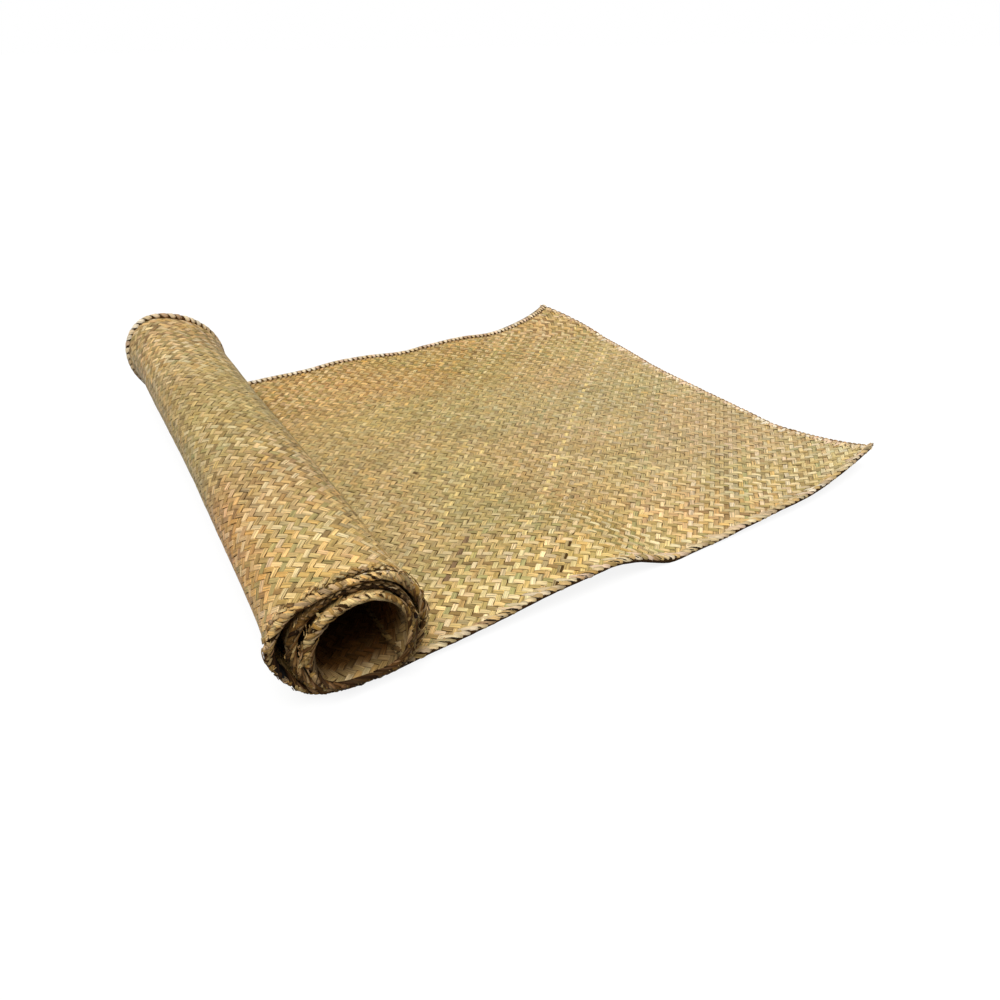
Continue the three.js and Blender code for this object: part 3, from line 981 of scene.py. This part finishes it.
def add_scale(bundle, turned, away):
    """The folded end of a strip on the outside of a turn, close to the front rim."""
    u = at_turned(turned)
    heading = math.radians(draw.choice([-1, 1]) * draw.normal(45, 12))
    length = uniform(5, 9)
    way = np.array([0, 0.5, 1])
    low = rim_span(np.array([u]), "front")[0][0] * (away < RIM_DEEP)
    lift = uniform(0.1, 0.8)
    us = u + length * way * math.sin(heading)
    vs = -WIDTH / 2 + away + length * (way - 0.3) * math.cos(heading)
    heights = min(low, 0) + np.array([0.1, -0.5, -0.4 - lift])
    own = pick(BLEACHED + MIDDLE + WORN) * uniform(0.75, 1.05)
    # painted shade where it tucks into the mat; the scales are also darker below about 125 degrees
    # turned
    shades = own * np.array([[0.55], [1], [1]]) * np.interp(turned, [90, 125], [0.55, 1])
    centre = np.column_stack([us, np.maximum(vs, -WIDTH / 2 + 0.5), heights])
    bundle.add(centre, uniform(1.3, 2.3), 0.5, (0, 0, -1), shades)


def add_fibre(bundle, turned, away, height, heading, rise, length, curl, half_width, shades):
    """A loose fibre or broken strip. heading is in the sheet, from the roll's turning to the front."""
    way = np.linspace(0, 1, 6)
    bend = np.radians(heading) + curl * way
    step = length * way[1]
    u = at_turned(turned) + np.cumsum(step * np.cos(bend)) - step
    v = -WIDTH / 2 + away - np.cumsum(step * np.sin(bend)) + step
    heights = height - rise * way**1.3
    wide = half_width * np.interp(way, [0, 0.7, 1], [1, 0.9, 0.35])
    bundle.add(np.column_stack([u, v, heights]), wide, 0.3, (0, 0, -1), shades)


# turned from, to, how many, away from the edge, length, rise, half width, colours
FRAYS = (
    (186, 238, 16, (0, 7), (4, 8), (0, 1.8), (0.5, 1.6), CREAM + WORN),
    (150, 240, 12, (0, 8), (5, 11), (0, 1.2), (0.2, 0.4), CREAM),
    (60, 125, 12, (0, 4), (2, 4), (0, 0.6), (0.4, 1.0), RUSSET),
    (240, 320, 10, (0, 8), (4, 9), (0, 1.6), (0.3, 0.9), WORN),
    (560, 590, 3, (0, 3), (5, 8), (2, 4), (0.2, 0.3), CREAM),
    (600, 670, 18, (0, 6), (4, 9), (0, 3), (0.15, 0.3), BLEACHED),
    (430, 540, 14, (1, 8), (4, 8), (0, 2), (0.3, 1.0), WORN),
    (780, 900, 14, (1, 8), (4, 8), (0, 2), (0.3, 1.0), WORN),
    (805, 865, 16, (1, 6), (4, 8), (2, 5), (0.8, 1.6), WORN + MIDDLE),
)


def worn_ends():
    """Folded strip ends all along the outer turn's front, and frays where the rim has them."""
    bundle = Bundle(flat=True)
    for turned in np.arange(22, 345, 5):
        add_scale(bundle, turned + draw.normal(0, 1), uniform(3, 9))
    for first, last, count, away, length, rise, half_width, colours in FRAYS:
        for _ in range(count):
            turned = uniform(first, last)
            spot, heading = uniform(*away), uniform(-40, 100)
            size, curl = uniform(*length), draw.normal(0, 1.2)
            shades = pick(colours) * uniform(0.8, 1.1)
            wide, lift = uniform(*half_width), uniform(*rise)
            start = outer_side(turned, spot) + 0.2
            add_fibre(bundle, turned, spot, start, heading, lift, size, curl, wide, shades)
    return bundle.build("worn_ends", edge_material)


TUFT_IN, TUFT_PAST = 24, 4.2  # how far the gathered ends reach in from the corner and past it


def near_corner():
    """Strip ends gathered at the loose end's near corner."""
    bundle = Bundle(flat=False, painted_side_shade=0.7)
    way = np.linspace(0, 1, 6)
    for _ in range(14):
        start_away, end_away = uniform(1, 12), uniform(0.5, 7)
        u = TUFT_IN * uniform(0.7, 1) * (1 - way) - TUFT_PAST * uniform(0.4, 1) * way
        v = start_away + (end_away - start_away) * way - WIDTH / 2
        height = 3.5 + (uniform(0.3, 5.5) - 3.5) * way + 1.5 * np.sin(math.pi * way)
        wide = uniform(1.2, 2.2) * np.array([0.6, 1, 1, 1, 1, 0.85])
        shades = pick(CREAM + LIGHT) * np.linspace(1.2, draw.choice([0.4, 1.15, 1.25]), 6)[:, None]
        bundle.add(np.column_stack([u, v, height]), wide, 1.0, (0, 0, 1), shades)
    return bundle.build("near_corner", edge_material)


def front_slits():
    """Dark slits, painted shade, between the strips that go over the loose half's front edge."""
    bundle = Bundle(flat=False)
    count = round(LENGTH / (2 * STEP_V))
    for k in range(1, count):
        at = k * LENGTH / count
        if at < LOOSE_LENGTH and draw.random() < 0.45:
            half_width = uniform(0.5, 1.0)
            add_turned_strip(bundle, "front", at, FRONT_LEAN, 0, half_width, SLIT, 1.09, OVER_RIM)
    return bundle.build("front_slits", edge_material)


edge_pieces += [worn_ends(), near_corner(), front_slits()]

# ---- The dark middle: painted shade, seen only through the gaps between the strips ----

SHEET_HALF = 0.12  # half of the sheet's thickness
SHEET_INSET = 2.5  # how far the sheet stops inside the mat's edge


def middle_sheet():
    """A thin closed sheet between the plait's two layers, as large as the mat, dark as painted shade."""
    us = np.linspace(SHEET_INSET, LENGTH - SHEET_INSET, 221)
    vs = np.linspace(-WIDTH / 2 + SHEET_INSET, WIDTH / 2 - SHEET_INSET, 61)
    u, v = np.meshgrid(us, vs, indexing="ij")
    middle = middle_height(u, v)
    points = np.concatenate([lay(u, v, middle + SHEET_HALF), lay(u, v, middle - SHEET_HALF)])
    rows, columns = u.shape
    under = rows * columns
    at = np.arange(under).reshape(rows, columns)
    a, b, c, d = at[:-1, :-1], at[1:, :-1], at[1:, 1:], at[:-1, 1:]
    top = np.stack([a, d, c, b], -1).reshape(-1, 4)
    faces = [top, top[:, ::-1] + under]
    rim = np.concatenate([at[:-1, 0], at[-1, :-1], at[:0:-1, -1], at[0, :0:-1]])
    after = np.roll(rim, -1)
    faces.append(np.stack([rim, after, after + under, rim + under], -1))
    faces = np.concatenate(faces).tolist()
    return new_piece("middle_sheet", points.reshape(-1, 3), faces, shadow_material)


sheet = middle_sheet()
ropes = [rope(side) for side in ("front", "back", "end", "inner")]

# ---- Riding and replacing ----

for piece in [*plait_pieces, *edge_pieces, *ropes, sheet]:
    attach(piece, "root")
    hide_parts("mat")

# ---- Floor, light and camera ----

FLOOR_HALF = 40  # metres
FLOOR_COLOUR = 0.16
FLOOR_GLOW = 0.875  # with the light on the floor's colour this shows as white
LOW_SKY, HIGH_SKY = 0.02, 0.85  # the sky's strength at the horizon and overhead


def plain_floor():
    """A pale floor that shows as white and keeps the object's shadow."""
    material, tree, shader = new_material("floor")
    nodes, links = tree.nodes, tree.links
    shader.inputs["Base Color"].default_value = (FLOOR_COLOUR, FLOOR_COLOUR, FLOOR_COLOUR, 1)
    shader.inputs["Roughness"].default_value = 1.0
    shader.inputs["Specular IOR Level"].default_value = 0.0
    path = nodes.new("ShaderNodeLightPath").outputs
    seen = calculate(tree, "MAXIMUM", path["Is Camera Ray"], path["Is Glossy Ray"])
    seen = calculate(tree, "MAXIMUM", seen, path["Is Transmission Ray"])
    glow = nodes.new("ShaderNodeEmission")
    links.new(calculate(tree, "MULTIPLY", seen, FLOOR_GLOW), glow.inputs["Strength"])
    total = nodes.new("ShaderNodeAddShader")
    links.new(shader.outputs[0], total.inputs[0])
    links.new(glow.outputs[0], total.inputs[1])
    links.new(total.outputs[0], nodes["Material Output"].inputs["Surface"])
    corners = FLOOR_HALF * np.array([(-1, -1, 0), (1, -1, 0), (1, 1, 0), (-1, 1, 0)])
    new_piece("floor", corners, [(0, 1, 2, 3)], material)


def pale_world():
    """Light that falls mostly from above, before a white backdrop."""
    world = bpy.data.worlds.new("pale")
    world.use_nodes = True
    scene.world = world
    tree = world.node_tree
    nodes, links = tree.nodes, tree.links
    place = nodes.new("ShaderNodeTexCoord")
    direction = nodes.new("ShaderNodeSeparateXYZ")
    links.new(place.outputs["Generated"], direction.inputs[0])
    upwards = calculate(tree, "MAXIMUM", direction.outputs["Z"], 0.0)
    height = nodes.new("ShaderNodeMapRange")
    height.inputs["To Min"].default_value = LOW_SKY
    height.inputs["To Max"].default_value = HIGH_SKY
    links.new(calculate(tree, "POWER", upwards, 2.0), height.inputs["Value"])
    light = nodes["Background"]
    light.inputs["Color"].default_value = (1.0, 0.99, 0.97, 1)
    links.new(height.outputs[0], light.inputs["Strength"])
    backdrop = nodes.new("ShaderNodeBackground")
    backdrop.inputs["Color"].default_value = (1, 1, 1, 1)
    backdrop.inputs["Strength"].default_value = 1.0
    path = nodes.new("ShaderNodeLightPath")
    choice = nodes.new("ShaderNodeMixShader")
    links.new(path.outputs["Is Camera Ray"], choice.inputs["Fac"])
    links.new(light.outputs[0], choice.inputs[1])
    links.new(backdrop.outputs[0], choice.inputs[2])
    links.new(choice.outputs[0], nodes["World Output"].inputs["Surface"])


def soft_sun(name, spot, power, width):
    """A distant lamp in the direction of spot, as wide as a soft box seen from the mat."""
    lamp = bpy.data.lights.new(name, "SUN")
    lamp.energy = power
    lamp.angle = math.radians(width)
    holder = bpy.data.objects.new(name, lamp)
    scene.collection.objects.link(holder)
    holder.location = spot
    holder.rotation_euler = Vector(spot).to_track_quat("Z", "Y").to_euler()


plain_floor()
pale_world()
soft_sun("key", (-0.25, -0.4, 1.2), 2.08, 36)

camera_data = bpy.data.cameras.new("camera")
camera_data.lens = 26.38
camera_data.sensor_width = 36
camera = bpy.data.objects.new("camera", camera_data)
scene.collection.objects.link(camera)
camera.location = (-0.48224, -0.91435, 0.535)
camera.rotation_euler = Euler([math.radians(a) for a in (57.687, 0.337, -30.024)], "XYZ")
scene.camera = camera
scene.view_settings.view_transform = "Standard"
